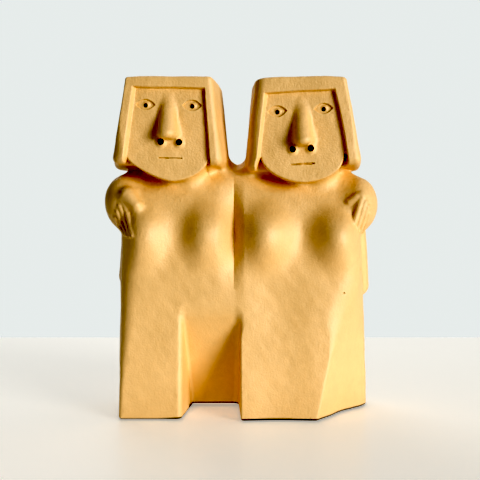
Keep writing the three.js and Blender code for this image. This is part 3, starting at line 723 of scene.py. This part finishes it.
    def painted_black_shade(self, points):
        """Painted black shade inside the drilled holes and painted shadow along the foot: 1 there and 0
        elsewhere
        """
        x, y, z = points.T
        shadow_top = FOOT_SHADOW + (FOOT_SHADOW_RIGHT - FOOT_SHADOW) * ramp(*FOOT_SHADOW_X, x)
        in_niche = (x > FOOT_SHADOW_NICHE_X[0]) & (x < FOOT_SHADOW_NICHE_X[1])
        shadow_top = np.where(in_niche & (np.abs(y) < FOOT_SHADOW_NICHE_Y), FOOT_SHADOW_NICHE, shadow_top)
        total = 1 - ramp(shadow_top, shadow_top + FOOT_SHADOW_SOFT, z)
        for woman in HEADS:
            u, v, w = self.in_head(woman, x, y, z)
            behind = v - FACE_Y
            for side in SIDES:
                across, up = u - side * EYE_APART / 2, w - woman["eye"] + PUPIL_DROP
                black = 1 - ramp(*PUPIL_SHADE_EDGE, np.hypot(across, up) - self.pupil)
                within = np.abs(behind - PUPIL_SHADE[0]) < PUPIL_SHADE[1]
                total = np.maximum(total, within * black)
                across = u - woman["nose"] - side * NOSTRILS_APART / 2
                up = w - woman["nose_base"] + NOSTRIL_DROP
                black = 1 - ramp(*NOSTRIL_SHADE_EDGE, np.hypot(across, up) - self.nostril)
                within = np.abs(behind - NOSTRIL_SHADE[0]) < NOSTRIL_SHADE[1]
                total = np.maximum(total, within * black)
        return total

    def cuts(self, skin, x, y, z):
        """The block with niche, facet and pinhole cut out, and with its foot rounded"""
        edge = NICHE_EDGE + NICHE_EDGE_MORE * ramp(*NICHE_EDGE_Z, z)
        edge = np.maximum(edge, NICHE_LEFT_EDGE * ramp(*NICHE_LEFT_EDGE_X, x))
        cut = meet(skin, -self.niche(x, y, z), edge)
        cut = meet(cut, self.facet(x, y, z), FACET_EDGE + FACET_EDGE_MORE * ramp(*FACET_EDGE_Z, z))
        pin = np.hypot(x - PINHOLE[0], z - PINHOLE[1]) - PINHOLE_RADIUS
        cut = meet(cut, -meet(pin, y - PINHOLE_END_Y, PINHOLE_ROUND), PINHOLE_EDGE)
        return meet(cut, FOOT_LIFT * ramp(*FOOT_LIFT_DEPTHS, cut) - z, FOOT_ROUND)

    def __call__(self, points):
        """Field value at each point"""
        x, y, z = points.T
        skin = self.body(x, y, z)
        high = z > SHOULDER_LOW_Z
        shoulders = self.shoulders(x[high], y[high], z[high])
        skin[high] = merge(skin[high], shoulders, SHOULDER_BLEND)
        rear = (y > 0) & (z > ARMS_LOW_Z)
        skin[rear] = join(skin[rear], self.arms(x[rear], y[rear], z[rear]), ARM_FILLET)
        for woman in HEADS:
            near = (z > HEAD_LOW_Z) & (np.abs(x - woman["x"]) < HEAD_REACH)
            head = self.head(woman, x[near], y[near], z[near])
            skin[near] = join(skin[near], head, self.head_fillet(woman, x[near], y[near]))
        for hand, limbs in zip(HANDS, self.hand_paths):
            near = (x * hand["side"] > HAND_INNER_X) & (y < HAND_REAR_Y)
            near = near & (z > HAND_LOW_Z) & (z < HAND_HIGH_Z)
            place = (x[near], y[near], z[near])
            skin[near] = merge(skin[near], limb(place, limbs[0]), hand["thumb_blend"])
            fingers = limb(place, limbs[1])
            for path in limbs[2:]:
                fingers = merge(fingers, limb(place, path), FINGER_BLEND)
            skin[near] = merge(skin[near], fingers, HAND_BLEND)
        skin = skin + self.handwork(points) * ramp(0, EVEN_FOOT_Z, z)
        low = z < CUTS_TOP_Z
        skin[low] = self.cuts(skin[low], x[low], y[low], z[low])
        return skin


def in_batches(field, points):
    """Field values of many points, worked out in batches that fit the processor's cache"""
    return np.concatenate([field(points[i:i + BATCH]) for i in range(0, len(points), BATCH)])


def slope_of(field, points, reach):
    """Gradient of the field at each point, from four samples round it"""
    total = np.zeros_like(points)
    for corner in TETRAHEDRON:
        total += corner * in_batches(field, points + corner * reach)[:, None]
    return total / (4 * reach)


def settle(field, points, turns=3, reach=0.12, limit=1.2):
    """Moves points on to the surface along the field's slope"""
    for _ in range(turns):
        slope = slope_of(field, points, reach)
        steep = np.maximum((slope * slope).sum(axis=1), 0.2)
        step = in_batches(field, points) / steep
        points = points - np.clip(step, -limit, limit)[:, None] * slope
    return points


def surface_net(field, low, high, step):
    """First coarse skin: one point in each grid cell that the surface crosses"""
    axes = [np.arange(low[i], high[i] + step, step) for i in range(3)]
    counts = [len(axis) for axis in axes]
    grid = np.stack(np.meshgrid(*axes, indexing="ij"), axis=-1).reshape(-1, 3)
    values = in_batches(field, grid).reshape(counts)
    inside = values < 0
    cells = [count - 1 for count in counts]
    total = np.zeros(cells + [3])
    hits = np.zeros(cells)
    for axis in range(3):
        others = [i for i in range(3) if i != axis]
        for shift in ((0, 0), (0, 1), (1, 0), (1, 1)):
            near = [slice(None)] * 3
            far = [slice(None)] * 3
            for i, move in zip(others, shift):
                near[i] = far[i] = slice(move, move + cells[i])
            near[axis], far[axis] = slice(0, cells[axis]), slice(1, None)
            a, b = values[tuple(near)], values[tuple(far)]
            crossed = inside[tuple(near)] != inside[tuple(far)]
            share = np.where(crossed, a / np.where(crossed, a - b, 1), 0)
            total[..., axis] += share
            for i, move in zip(others, shift):
                total[..., i] += move * crossed
            hits += crossed
    used = hits > 0
    number = -np.ones(cells, dtype=int)
    number[used] = np.arange(used.sum())
    index = np.argwhere(used)
    points = np.array(low) + step * (index + total[used] / hits[used][:, None])
    quads = []
    for axis in range(3):
        one, two = [(1, 2), (2, 0), (0, 1)][axis]
        near = [slice(1, -1)] * 3
        far = [slice(1, -1)] * 3
        near[axis], far[axis] = slice(0, -1), slice(1, None)
        starts = inside[tuple(near)]
        crossed = np.argwhere(starts != inside[tuple(far)])
        leaving = starts[tuple(crossed.T)]
        crossed = crossed + [0 if i == axis else 1 for i in range(3)]
        ring = []
        for back_one, back_two in ((1, 1), (0, 1), (0, 0), (1, 0)):
            cell = crossed.copy()
            cell[:, one] -= back_one
            cell[:, two] -= back_two
            ring.append(number[tuple(cell.T)])
        ring = np.stack(ring, axis=1)
        ring[~leaving] = ring[~leaving][:, ::-1]
        quads.append(ring)
    quads = np.concatenate(quads)
    faces = np.concatenate([quads[:, [0, 1, 2]], quads[:, [0, 2, 3]]])
    return points, faces


def edges_of(faces):
    """Each edge once, and the three edge numbers of every face"""
    pairs = np.sort(np.concatenate([faces[:, [0, 1]], faces[:, [1, 2]], faces[:, [2, 0]]]), axis=1)
    keys, where = np.unique(pairs[:, 0] * (faces.max() + 1) + pairs[:, 1], return_inverse=True)
    edges = np.stack([keys // (faces.max() + 1), keys % (faces.max() + 1)], axis=1)
    return edges, where.reshape(3, -1).T


def split(points, faces, edges, face_edges, marked):
    """Cuts the marked edges in half and the faces on them into two, three or four"""
    fresh = -np.ones(len(edges), dtype=int)
    fresh[marked] = len(points) + np.arange(marked.sum())
    middles = points[edges[marked]].mean(axis=1)
    cuts = fresh[face_edges]
    count = (cuts >= 0).sum(axis=1)
    result = [faces[count == 0]]
    # one cut edge: turned so that it is the first
    some = count == 1
    turn = np.argmax(cuts[some] >= 0, axis=1)
    corner, cut = turned(faces[some], turn), turned(cuts[some], turn)
    result.append(stack(corner[:, 0], cut[:, 0], corner[:, 2]))
    result.append(stack(cut[:, 0], corner[:, 1], corner[:, 2]))
    # two cut edges: turned so that the whole edge is the last
    some = count == 2
    turn = (np.argmin(cuts[some] >= 0, axis=1) + 1) % 3
    corner, cut = turned(faces[some], turn), turned(cuts[some], turn)
    result.append(stack(cut[:, 0], corner[:, 1], cut[:, 1]))
    everything = np.concatenate([points, middles])
    one = np.linalg.norm(everything[corner[:, 0]] - everything[cut[:, 1]], axis=1)
    two = np.linalg.norm(everything[cut[:, 0]] - everything[corner[:, 2]], axis=1)
    short = one < two
    for chosen, order in ((short, (0, 1, 4, 0, 4, 2)), (~short, (0, 1, 2, 1, 4, 2))):
        known = [corner[chosen, 0], cut[chosen, 0], corner[chosen, 2], None, cut[chosen, 1]]
        result += [stack(*(known[i] for i in order[:3])), stack(*(known[i] for i in order[3:]))]
    # three cut edges
    some = count == 3
    corner, cut = faces[some], cuts[some]
    for i in range(3):
        result.append(stack(corner[:, i], cut[:, i], cut[:, i - 1]))
    result.append(cut)
    return everything, np.concatenate(result)


def turned(rows, turn):
    """Rows of three, each rotated so that the item at its turn comes first"""
    return np.take_along_axis(rows, (turn[:, None] + np.arange(3)) % 3, axis=1)


def stack(*columns):
    """Columns side by side"""
    return np.stack(columns, axis=1)


def wanted_size(points):
    """Longest edge wanted at each place: short on faces and hands, shorter on eyes and mouths"""
    x, y, z = points.T
    size = np.full(len(points), MESH_PLAIN)
    for woman in HEADS:
        u, w = x - woman["x"], z - woman["z"]
        front = y < FACE_Y + MESH_FACE_DEPTH
        size[front & (np.abs(u) < MESH_FACE_HALF) & (w > MESH_FACE_LOW)] = MESH_FACE
        for side in SIDES:
            across = (u - side * EYE_APART / 2) / MESH_EYE_AREA[0]
            eye = np.hypot(across, (w - woman["eye"]) / MESH_EYE_AREA[1]) < 1
            size[front & eye] = MESH_HOLE
            across = u - woman["nose"] - side * NOSTRILS_APART / 2
            hole = np.hypot(across, w - woman["nose_base"] + NOSTRIL_DROP) < MESH_NOSTRIL_AREA
            size[front & hole] = MESH_HOLE
        half, high = MESH_MOUTH_AREA
        mouth = (np.abs(u) < half) & (np.abs(w - woman["mouth"]) < high)
        size[front & mouth] = MESH_MOUTH
    hands = (np.abs(x) > MESH_HAND_X) & (y < MESH_HAND_Y)
    size[hands & (z > MESH_HAND_Z[0]) & (z < MESH_HAND_Z[1])] = MESH_HAND
    pin = np.hypot(x - PINHOLE[0], z - PINHOLE[1]) < MESH_PINHOLE_AREA
    size[pin & (y < 0)] = MESH_PINHOLE
    size[(z < MESH_FOOT_Z) & (y < MESH_FOOT_Y)] = MESH_FOOT
    return size


def skin_of(field, low, high, finest, passes):
    """Skin of a field: a coarse net, refined where the surface turns or carries detail"""
    points, faces = surface_net(field, low, high, GRID_STEP)
    points = settle(field, points)
    for _ in range(passes):
        slope = slope_of(field, points, SLOPE_REACH)
        normals = slope / np.linalg.norm(slope, axis=1)[:, None]
        edges, face_edges = edges_of(faces)
        length = np.linalg.norm(points[edges[:, 0]] - points[edges[:, 1]], axis=1)
        cosine = (normals[edges[:, 0]] * normals[edges[:, 1]]).sum(axis=1)
        bends = (cosine < math.cos(TURN_LIMIT)) & (length > finest * LONGER_BEND)
        middles = points[edges].mean(axis=1)
        coarse = length > np.maximum(wanted_size(middles), finest) * LONGER_EDGE
        marked = bends | coarse
        old = len(points)
        points, faces = split(points, faces, edges, face_edges, marked)
        points[old:] = settle(field, points[old:], turns=4)
    return points, faces


def painted_hollow_shade_of(field, points, normals):
    """Painted shade mask: how deep each point lies in a recess, from 0 in the open to about 1"""
    total = np.zeros(len(points))
    for reach, weight in PAINTED_SHADE_REACHES:
        open_space = in_batches(field, points + normals * reach)
        total += weight * np.clip(1 - open_space / reach, 0, 1)
    return total


def rubbed(field, points, normals):
    """How sharply the surface turns outwards at each point, from 0 to 1"""
    inner = in_batches(field, points - normals * RUB_REACH)
    return np.clip(1 + inner / RUB_REACH, 0, 1)


def mesh_piece(name, points, faces, normals, attributes):
    """Object from points in millimetres, with its own normals and values at its points"""
    mesh = bpy.data.meshes.new(name)
    mesh.from_pydata((points * MM).tolist(), [], faces.tolist())
    mesh.update()
    mesh.shade_smooth()
    mesh.normals_split_custom_set_from_vertices(normals.tolist())
    for key, values in attributes.items():
        layer = mesh.attributes.new(key, "FLOAT", "POINT")
        layer.data.foreach_set("value", values.astype(np.float32))
    piece = bpy.data.objects.new(name, mesh)
    bpy.context.scene.collection.objects.link(piece)
    return piece


class Flow:
    """One output of a shader tree. Arithmetic on it adds Math nodes."""

    def __init__(self, tree, socket):
        self.tree = tree
        self.socket = socket

    def _math(self, operation, *values):
        return self.tree.add("ShaderNodeMath", {"operation": operation}, dict(enumerate(values)))

    def __add__(self, other):
        return self._math("ADD", self, other)

    def __sub__(self, other):
        return self._math("SUBTRACT", self, other)

    def __rsub__(self, other):
        return self._math("SUBTRACT", other, self)

    def __mul__(self, other):
        return self._math("MULTIPLY", self, other)

    __radd__ = __add__
    __rmul__ = __mul__


class Tree:
    """A node tree under construction"""

    def __init__(self, owner):
        owner.use_nodes = True
        self.tree = owner.node_tree
        self.tree.nodes.clear()

    def add(self, kind, settings=None, sockets=None, output=0):
        """Adds a node: its settings first, then the values or links of its sockets"""
        node = self.tree.nodes.new(kind)
        for key, value in (settings or {}).items():
            setattr(node, key, value)
        for key, value in (sockets or {}).items():
            if isinstance(value, Flow):
                self.tree.links.new(value.socket, node.inputs[key])
            else:
                node.inputs[key].default_value = value
        return Flow(self, node.outputs[output]) if node.outputs else node

    def noise(self, place, scale, detail=2.0, roughness=0.5):
        """Soft noise round one half, with features of about one over its scale in metres"""
        sockets = {"Vector": place, "Scale": scale, "Detail": detail, "Roughness": roughness}
        return self.add("ShaderNodeTexNoise", None, sockets)

    def attribute(self, name):
        """Value that the mesh carries at its points"""
        return self.add("ShaderNodeAttribute", {"attribute_name": name}, output=2)

    def mix(self, factor, first, second):
        """Mix of two colours"""
        sockets = {0: factor, 6: first, 7: second}
        return self.add("ShaderNodeMix", {"data_type": "RGBA"}, sockets, output=2)


def opaque(colour):
    """Colour with full alpha"""
    return (*colour, 1.0)


def clay_material(finish):
    """Unglazed ochre clay: mottled, finely grained, with brushed strokes, painted shade darkening its
    recesses, painted black shade in the drilled holes with a painted shadow along the foot, and lighter
    rubbed edges
    """
    material = bpy.data.materials.new("ochre_clay")
    tree = Tree(material)
    place = tree.add("ShaderNodeTexCoord", output=3)
    painted_hollow_shade, rub, painted_black_shade, grit = (tree.attribute(name) for name in ("painted_hollow_shade", "rub", "painted_black_shade", "grit"))
    clouds = tree.noise(place, CLOUD_SCALE, 3.0)
    mottle = tree.noise(place, MOTTLE_SCALE, 3.0, 0.6)
    speck = tree.noise(place, SPECK_SCALE, 2.0)
    stroke_place = {"Vector": place, "Rotation": STROKE_TURN, "Scale": STROKE_STRETCH}
    strokes = tree.noise(tree.add("ShaderNodeMapping", None, stroke_place), STROKE_SCALE, 3.0, 0.6)
    shade = 0.5 + (clouds - 0.5) * SHADE_CLOUDS + (mottle - 0.5) * SHADE_MOTTLE
    shade = shade + (strokes - 0.5) * (SHADE_STROKES[0] + grit * SHADE_STROKES[1])
    shade = shade + (speck - 0.5) * (SHADE_SPECK[0] + grit * SHADE_SPECK[1])
    dark = tuple(DARKEST * part for part in finish.colour)
    light = tuple(min(1.0, LIGHTEST * part) for part in finish.colour)
    colour = tree.mix(shade, opaque(dark), opaque(light))
    # Painted shade: recesses are darkened by how deep each point lies in them
    colour = tree.mix(painted_hollow_shade * PAINTED_SHADE_STRENGTH, colour, opaque(finish.painted_shade_colour))
    colour = tree.mix(rub * RUB_STRENGTH, colour, opaque(finish.worn_colour))
    # Painted shade and shadow: black in the drilled holes and along the foot
    colour = tree.mix(painted_black_shade, colour, opaque(finish.painted_black_shade_colour))
    height = mottle * RELIEF_MOTTLE + strokes * (RELIEF_STROKES[0] + grit * RELIEF_STROKES[1])
    height = height + speck * (RELIEF_SPECK[0] + grit * RELIEF_SPECK[1])
    grain = {"Strength": 1.0, "Distance": finish.grain, "Height": height}
    bump = tree.add("ShaderNodeBump", None, grain)
    rough = finish.roughness - ROUGHNESS_SPREAD / 2 + mottle * ROUGHNESS_SPREAD
    shader = tree.add("ShaderNodeBsdfPrincipled", None, {
        "Base Color": colour, "Roughness": rough, "Normal": bump, "Specular IOR Level": 1.0,
    })
    tree.add("ShaderNodeOutputMaterial", None, {"Surface": shader})
    return material


def table_material(settings):
    """Smooth pale table top with a faint reflection"""
    material = bpy.data.materials.new("table_top")
    tree = Tree(material)
    place = tree.add("ShaderNodeTexCoord", output=3)
    cloud = tree.noise(place, TABLE_CLOUD_SCALE)
    dark = tuple(TABLE_DARKEST * part for part in settings.table_colour)
    colour = tree.mix(cloud, opaque(dark), opaque(settings.table_colour))
    shader = tree.add("ShaderNodeBsdfPrincipled", None, {
        "Base Color": colour, "Roughness": TABLE_ROUGHNESS, "Specular IOR Level": TABLE_SHINE,
        "Emission Color": opaque(settings.table_colour), "Emission Strength": settings.table_glow,
    })
    tree.add("ShaderNodeOutputMaterial", None, {"Surface": shader})
    return material


def area_light(name, azimuth, elevation, distance, size, power, colour=WHITE):
    """Rectangular light that looks at the figurine, placed by its turn from the camera's side"""
    data = bpy.data.lights.new(name, "AREA")
    data.shape = "RECTANGLE"
    data.size, data.size_y = size
    data.energy = power
    data.color = colour
    light = bpy.data.objects.new(name, data)
    level = math.cos(elevation)
    away = Vector((math.sin(azimuth) * level, -math.cos(azimuth) * level, math.sin(elevation)))
    light.location = Vector(AIM) + away * distance
    light.rotation_euler = away.to_track_quat("Z", "Y").to_euler()
    light.visible_camera = False
    bpy.context.scene.collection.objects.link(light)


class CLAY_OT_stage(bpy.types.Operator):
    """Adds the camera, the table, the backdrop and the lights"""

    bl_idname = "clay.stage"
    bl_label = "Table, light and camera"

    def execute(self, context):
        settings = context.scene.clay_stage
        self.add_camera(context)
        self.add_table(context, settings)
        self.add_world(context, settings)
        key_size = (settings.key_size, settings.key_size)
        area_light(
            "main_light", settings.key_azimuth, settings.key_elevation, KEY_DISTANCE, key_size,
            settings.key_power, KEY_TINT)
        area_light("top_light", math.pi, TOP_RISE, TOP_DISTANCE, TOP_SIZE, settings.top_power)
        area_light("rear_fill", REAR_TURN, REAR_RISE, REAR_DISTANCE, REAR_SIZE, REAR_POWER)
        self.set_tones(context, settings)
        return {"FINISHED"}

    def set_tones(self, context, settings):
        """Contrast and black level of the picture"""
        view = context.scene.view_settings
        view.view_transform = "Standard"
        view.gamma = 1 / settings.contrast
        view.use_curve_mapping = True
        view.curve_mapping.black_level = (settings.black_level,) * 3
        view.curve_mapping.update()

    def add_camera(self, context):
        data = bpy.data.cameras.new("camera")
        data.lens = CAMERA_LENS
        data.sensor_width = CAMERA_SENSOR
        data.sensor_fit = "HORIZONTAL"
        data.clip_start = 0.01
        camera = bpy.data.objects.new("camera", data)
        camera.location = Vector(CAMERA_PLACE) * MM
        camera.rotation_euler = (math.radians(90), 0, 0)
        context.scene.collection.objects.link(camera)
        context.scene.camera = camera

    def add_table(self, context, settings):
        rows = [(TABLE_FRONT, -TABLE_THICK), (TABLE_FRONT, 0.0)]
        for step in range(settings.edge_segments + 1):
            angle = math.pi / 2 * step / settings.edge_segments
            drop = TABLE_ROUND * (math.cos(angle) - 1)
            rows.append((TABLE_REAR - TABLE_ROUND * (1 - math.sin(angle)), drop))
        rows.append((TABLE_REAR, -TABLE_THICK))
        points = [(side * TABLE_HALF, y, z) for y, z in rows for side in SIDES]
        faces = [(2 * i, 2 * i + 1, 2 * i + 3, 2 * i + 2) for i in range(len(rows) - 1)]
        mesh = bpy.data.meshes.new("table")
        mesh.from_pydata(points, [], faces)
        mesh.materials.append(table_material(settings))
        table = bpy.data.objects.new("table", mesh)
        context.scene.collection.objects.link(table)

    def add_world(self, context, settings):
        world = bpy.data.worlds.new("backdrop")
        context.scene.world = world
        tree = Tree(world)
        seen = tree.add("ShaderNodeLightPath", output=0)
        glossy = tree.add("ShaderNodeLightPath", output=3)
        shown = tree.add("ShaderNodeMath", {"operation": "MAXIMUM"}, {0: seen, 1: glossy})
        fill = tuple(settings.fill * part for part in FILL_TINT)
        colour = tree.mix(shown, opaque(fill), opaque(settings.backdrop_colour))
        shader = tree.add("ShaderNodeBackground", None, {"Color": colour, "Strength": 1.0})
        tree.add("ShaderNodeOutputWorld", None, {"Surface": shader})


class CLAY_OT_embracing_pair(bpy.types.Operator):
    """Sculpts the two women, embracing, as one skin of clay"""

    bl_idname = "clay.embracing_pair"
    bl_label = "Embracing pair"

    def execute(self, context):
        sizes = context.scene.clay_sizes
        field = Sculpture(sizes)
        passes = PASSES
        finest = sizes.finest_edge / MM
        points, faces = skin_of(field, FIELD_LOW, FIELD_HIGH, finest, passes)
        slope = slope_of(field, points, NORMAL_REACH)
        normals = slope / np.linalg.norm(slope, axis=1)[:, None]
        # Masks of the painted shade in recesses, of the rubbed edges, of the painted black shade in
        # holes and along the foot, and of the grit
        attributes = {
            "painted_hollow_shade": painted_hollow_shade_of(field, points, normals),
            "rub": rubbed(field, points, normals),
            "painted_black_shade": field.painted_black_shade(points),
            "grit": ramp(GRIT_LOW_Z, GRIT_HIGH_Z, points[:, 2]),
        }
        piece = mesh_piece("clay_pair", points, faces, normals, attributes)
        piece.data.materials.append(clay_material(context.scene.clay_finish))
        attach(piece, "root")
        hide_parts("embracing_pair")
        return {"FINISHED"}


class CLAY_PT_panel(bpy.types.Panel):
    """Lists the pieces and their sizes and colours"""

    bl_idname = "CLAY_PT_panel"
    bl_label = "Clay pair"
    bl_space_type = "VIEW_3D"
    bl_region_type = "UI"
    bl_category = "Clay pair"

    def draw(self, context):
        layout = self.layout
        for operator, group in (
            (CLAY_OT_stage, context.scene.clay_stage),
            (CLAY_OT_embracing_pair, context.scene.clay_sizes),
        ):
            box = layout.box()
            box.operator(operator.bl_idname)
            for key in group.bl_rna.properties.keys():
                if key not in ("rna_type", "name"):
                    box.prop(group, key)
        finish = layout.box()
        for key in ("colour", "painted_shade_colour", "worn_colour", "painted_black_shade_colour", "grain", "roughness"):
            finish.prop(context.scene.clay_finish, key)


CLASSES = (SculptSizes, ClayFinish, StageSettings, CLAY_OT_stage, CLAY_OT_embracing_pair, CLAY_PT_panel)


def register():
    for cls in CLASSES:
        bpy.utils.register_class(cls)
    bpy.types.Scene.clay_sizes = PointerProperty(type=SculptSizes)
    bpy.types.Scene.clay_finish = PointerProperty(type=ClayFinish)
    bpy.types.Scene.clay_stage = PointerProperty(type=StageSettings)


def unregister():
    del bpy.types.Scene.clay_sizes
    del bpy.types.Scene.clay_finish
    del bpy.types.Scene.clay_stage
    for cls in reversed(CLASSES):
        bpy.utils.unregister_class(cls)


def main():
    register()
    bpy.ops.clay.stage()
    bpy.ops.clay.embracing_pair()


if __name__ == "__main__":
    main()
